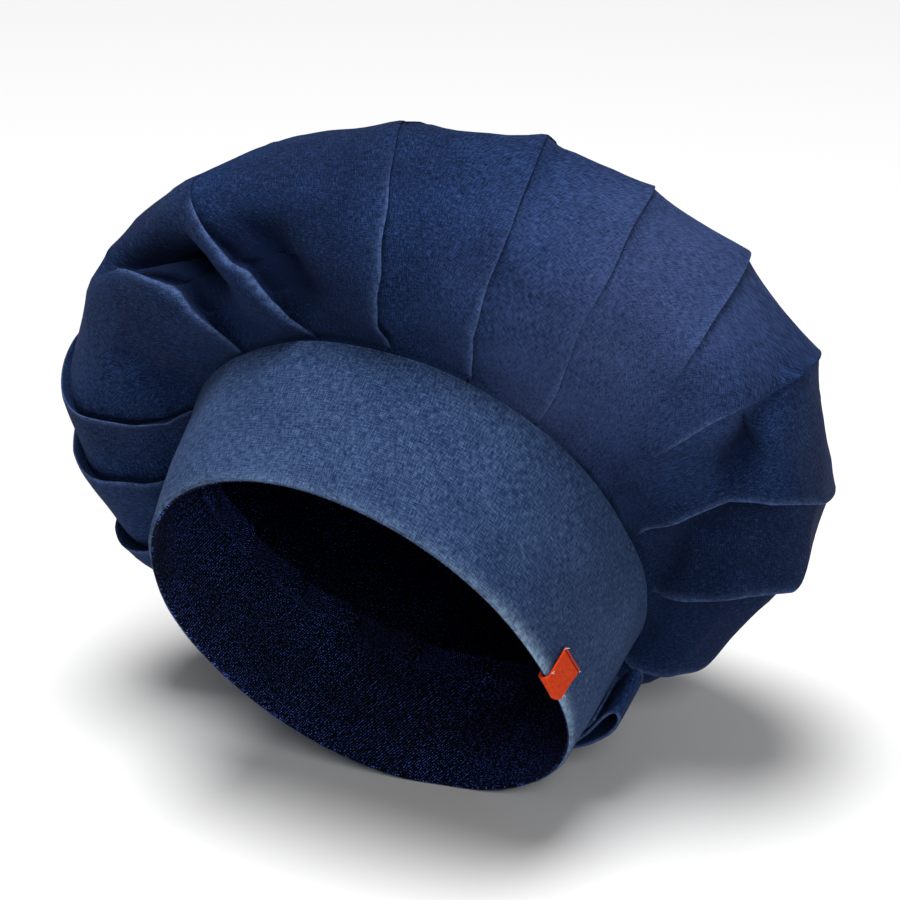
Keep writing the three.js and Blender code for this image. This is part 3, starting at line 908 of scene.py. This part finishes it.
# The tag: tape folded round the band's lower edge, one of its outer corners a little lifted.
def tag():
    near = BAND_WALL / 2 + GAP + TAG["slack"]
    lifted_places = 6
    outside = [(near, height) for height in np.linspace(TAG["outside"], TAG["turn_from"], 10)]
    turn = [(near * math.cos(angle), -near * math.sin(angle) * TAG["turn_depth"])
            for angle in np.linspace(0, math.pi, 9)[1:-1]]
    inside = [(-near, height) for height in np.linspace(0, TAG["inside"], 4)]
    route = np.array(outside + turn + inside)
    away, length = route_frame(route)
    across, through_tape = tape_section().T
    azimuth = TAG["azimuth"] + np.degrees(across * TAG["width"] / 2 / rim_radius(TAG["azimuth"]))
    sections, pairs = [], []
    for index in range(len(route)):
        lift = TAG["corner_lift"] * smoothstep(index, lifted_places, 0) * np.clip(across, 0, 1)
        out, up = route[index][:, None] + away[index][:, None] * (through_tape * TAG_CLOTH + lift)
        sections.append(placed(band_point(azimuth, up / BAND_HEIGHT, out)))
        pairs.append(np.stack([across * TAG["width"] / 2, length[index] + 0 * across], -1))
    return strip_piece("tag_fold", sections, pairs, tag_tape)


# The loose thread ends at the tag's corners: a point at each, where Geometry Nodes places short threads.
def thread_tree():
    tree = bpy.data.node_groups.new("loose_threads", "GeometryNodeTree")
    for name, kind in (("Corners", "NodeSocketGeometry"), ("Length", "NodeSocketFloat"),
                       ("Radius", "NodeSocketFloat"), ("Seed", "NodeSocketInt")):
        tree.interface.new_socket(name, in_out="INPUT", socket_type=kind)
    tree.interface.new_socket("Threads", in_out="OUTPUT", socket_type="NodeSocketGeometry")
    given = tree.nodes.new("NodeGroupInput").outputs
    result = tree.nodes.new("NodeGroupOutput").inputs

    def node(kind, **inputs):
        made = tree.nodes.new(kind)
        for name, source in inputs.items():
            tree.links.new(source, made.inputs[name.replace("_", " ")])
        return made

    end = node("ShaderNodeCombineXYZ", X=given["Length"])
    line = node("GeometryNodeCurvePrimitiveLine", End=end.outputs[0])
    ring = node("GeometryNodeCurvePrimitiveCircle", Radius=given["Radius"])
    ring.inputs["Resolution"].default_value = THREAD["sides"]
    thread = node("GeometryNodeCurveToMesh", Curve=line.outputs[0], Profile_Curve=ring.outputs[0])
    thread.inputs["Fill Caps"].default_value = True
    turn = node("FunctionNodeRandomValue", Seed=given["Seed"])
    turn.data_type = "FLOAT_VECTOR"
    turn.inputs["Min"].default_value = (-0.5, -0.5, 0.0)
    turn.inputs["Max"].default_value = (0.5, 0.5, 2 * math.pi)
    placed_threads = node("GeometryNodeInstanceOnPoints", Points=given["Corners"], Instance=thread.outputs[0])
    tree.links.new(turn.outputs[0], placed_threads.inputs["Rotation"])
    joined = node("GeometryNodeRealizeInstances", Geometry=placed_threads.outputs[0])
    coloured = node("GeometryNodeSetMaterial", Geometry=joined.outputs[0])
    coloured.inputs["Material"].default_value = pale_thread
    tree.links.new(coloured.outputs[0], result["Threads"])
    return tree


def tag_threads():
    off = BAND_WALL / 2 + GAP + TAG_CLOTH + THREAD["radius"] * 2
    corners = []
    for side in (-1, 1):
        azimuth = TAG["azimuth"] + side * math.degrees(TAG["width"] / 2 / rim_radius(TAG["azimuth"]))
        for height in (THREAD["from_end"] * 2, TAG["outside"] - THREAD["from_end"]):
            point = placed(band_point(np.array(float(azimuth)), height / BAND_HEIGHT, off))
            corners += [point] * THREAD["at_each_corner"]
    seed_piece = new_piece("tag_corners", np.array(corners), [], [])
    modifier = seed_piece.modifiers.new("threads", "NODES")
    tree = thread_tree()
    modifier.node_group = tree
    values = {"Length": THREAD["length"], "Radius": THREAD["radius"], "Seed": THREAD["seed"]}
    for socket in tree.interface.items_tree:
        if socket.name in values:
            modifier[socket.identifier] = values[socket.name]
    evaluated = seed_piece.evaluated_get(bpy.context.evaluated_depsgraph_get())
    mesh = bpy.data.meshes.new_from_object(evaluated)
    piece = bpy.data.objects.new("tag_loose_threads", mesh)
    bpy.context.scene.collection.objects.link(piece)
    bpy.data.objects.remove(seed_piece)
    return piece


# A strap that stands on its edge along a route of (along, off) places beside the band.
def strap_piece(part, route, looped, seed):
    route = np.array(route)
    away, length = route_frame(route, looped)
    across, through_tape = tape_section().T
    sections, pairs = [], []
    for index in range(len(route)):
        spot = Vector((length[index] / STRAP_WAVE["size"], seed, STRAP_WAVE["shift"]))
        height = part["above"] + across * STRAP_WIDTH / 2 + STRAP_WAVE["rise"] * noise.noise(spot)
        along, off = route[index][:, None] + away[index][:, None] * (through_tape - 0.5) * STRAP_CLOTH
        sections.append(placed(beside_band(along, off, height)))
        pairs.append(np.stack([length[index] + 0 * along, across * STRAP_WIDTH / 2], -1))
    edge_wear = STRAP_WEAR["most"] * smoothstep(np.abs(across), STRAP_WEAR["from"], 1)
    worn = np.tile(edge_wear, len(route))
    return strip_piece(part["name"] + "_tape", sections, pairs, crown_cloth, worn, looped)


def tie_tail(tail, seed):
    start = KNOT["length"] / 2 + GAP
    middle = GAP + STRAP_CLOTH / 2 + TAIL_WAVE["rise"]
    route = [(tail["side"] * (start + tail["reach"] * step),
              middle + TAIL_WAVE["rise"] * math.sin(step * TAIL_WAVE["pace"]))
             for step in np.linspace(0, 1, TAIL_WAVE["places"])]
    return strap_piece(tail, route, False, seed)


def tie_loop(loop, seed):
    places = 64
    start = KNOT["length"] / 2 + GAP
    off_band = 2 * GAP + STRAP_ROOM
    neck = 2 * STRAP_ROOM + GAP
    half_strap = STRAP_ROOM / 2
    route = []
    for step in range(places):
        angle = 2 * math.pi * step / places
        share = (1 - math.cos(angle)) / 2
        half = mix(neck, loop["depth"], share) / 2
        reach = mix(half_strap, loop["reach"] - half_strap, share)
        off = off_band + half + (half - half_strap) * math.sin(angle)
        route.append((loop["side"] * (start + reach), off))
    return strap_piece(loop, route, True, seed)


# The knot: cloth wrapped once round the middle of the bow, with creases that follow the wrap.
def tie_knot():
    around, levels = 56, 26
    angle = np.arange(around) * 2 * math.pi / around
    corner = KNOT_SHAPE["squareness"]
    square = (np.abs(np.cos(angle)) ** corner + np.abs(np.sin(angle)) ** corner) ** (-1 / corner)
    sections, pairs = [], []
    for height in np.linspace(-1, 1, levels):
        waist = max((1 - abs(height) ** KNOT_SHAPE["bulge"]) ** KNOT_SHAPE["taper"], KNOT_SHAPE["end"])
        crease = np.sin(KNOT_CREASES["pace"] * height + KNOT_CREASES["sway"] * np.sin(angle))
        size = KNOT_SHAPE["fullness"] * square * waist * (1 + KNOT_CREASES["share"] * crease * waist)
        along = KNOT["length"] / 2 * np.cos(angle) * size
        off = KNOT["gap"] + KNOT["depth"] / 2 * (1 + np.sin(angle) * size)
        level = height * KNOT["height"] / 2
        sections.append(placed(beside_band(along, off, KNOT["above"] + level)))
        pairs.append(np.stack([angle * KNOT_SHAPE["wrap_radius"], level + 0 * angle], -1))
    return strip_piece("tie_knot_wrap", sections, pairs, crown_cloth, np.zeros(levels * around))


def floor():
    half = FLOOR["half_side"]
    corners = np.array([[-half, -half, 0], [half, -half, 0], [half, half, 0], [-half, half, 0]])
    pale = Shader("pale_floor", {"Base Color": FLOOR["colour"], "Roughness": FLOOR["roughness"]})
    return new_piece("floor", corners, [(0, 1, 2, 3)], [pale.material])


def area_light(name, place, aim, size, watts):
    light = bpy.data.lights.new(name, "AREA")
    light.shape = "DISK"
    light.size = size
    light.energy = watts
    lamp = bpy.data.objects.new(name, light)
    lamp.location = place
    lamp.rotation_euler = (Vector(aim) - Vector(place)).to_track_quat("-Z", "Y").to_euler()
    bpy.context.scene.collection.objects.link(lamp)


def camera():
    turn, lift = math.radians(VIEW_AZIMUTH), math.radians(VIEW_ELEVATION)
    towards = Vector((math.sin(turn) * math.cos(lift), -math.cos(turn) * math.cos(lift), math.sin(lift)))
    right = Vector((math.cos(turn), math.sin(turn), 0))
    upward = towards.cross(right)
    centre = Vector(RIM_CENTRE)
    lens = bpy.data.cameras.new("camera")
    lens.lens = LENS
    lens.sensor_width = SENSOR
    eye = bpy.data.objects.new("camera", lens)
    eye.location = centre + towards * VIEW_DISTANCE
    aim = centre + right * VIEW_RIGHT + upward * VIEW_UP
    eye.rotation_euler = (aim - eye.location).to_track_quat("-Z", "Y").to_euler()
    bpy.context.scene.collection.objects.link(eye)
    bpy.context.scene.camera = eye
    return towards, right, upward


def lights(towards, right, upward):
    middle = Vector(RIM_CENTRE) + Vector(MIDDLE_BEYOND_RIM)
    for light in LIGHTS:
        place = middle + towards * light["towards"] + right * light["right"] + upward * light["up"]
        area_light(light["name"], place, middle, light["size"], light["watts"])
    world = bpy.data.worlds.new("studio")
    world.use_nodes = True
    world.node_tree.nodes["Background"].inputs["Color"].default_value = (1, 1, 1, 1)
    world.node_tree.nodes["Background"].inputs["Strength"].default_value = WORLD_STRENGTH
    bpy.context.scene.world = world
    bpy.context.scene.view_settings.view_transform = "Standard"


crown_sheet = crown()
band_ring = band()
tag_fold = tag()
loose_threads = tag_threads()
knot_wrap = tie_knot()
loop_tapes = [tie_loop(loop, index) for index, loop in enumerate(LOOPS)]
tail_tapes = [tie_tail(tail, 5 + index) for index, tail in enumerate(TAILS)]
ground = floor()
towards, right, upward = camera()
lights(towards, right, upward)

stands_for = {"crown": crown_sheet, "band": band_ring, "tag": tag_fold, "tie_knot": knot_wrap}
stands_for.update({loop["name"]: piece for loop, piece in zip(LOOPS, loop_tapes)})
stands_for.update({tail["name"]: piece for tail, piece in zip(TAILS, tail_tapes)})
for node, piece in stands_for.items():
    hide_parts(node)
    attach(piece, "root")
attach(loose_threads, "root")

# The cloth as it was cut, width and length. The band and the straps are doubled strips, and each is given
# as it lies once doubled.
for loop, piece in zip(LOOPS, loop_tapes):
    loop_length = 2 * (loop["reach"] + loop["depth"] / 2)
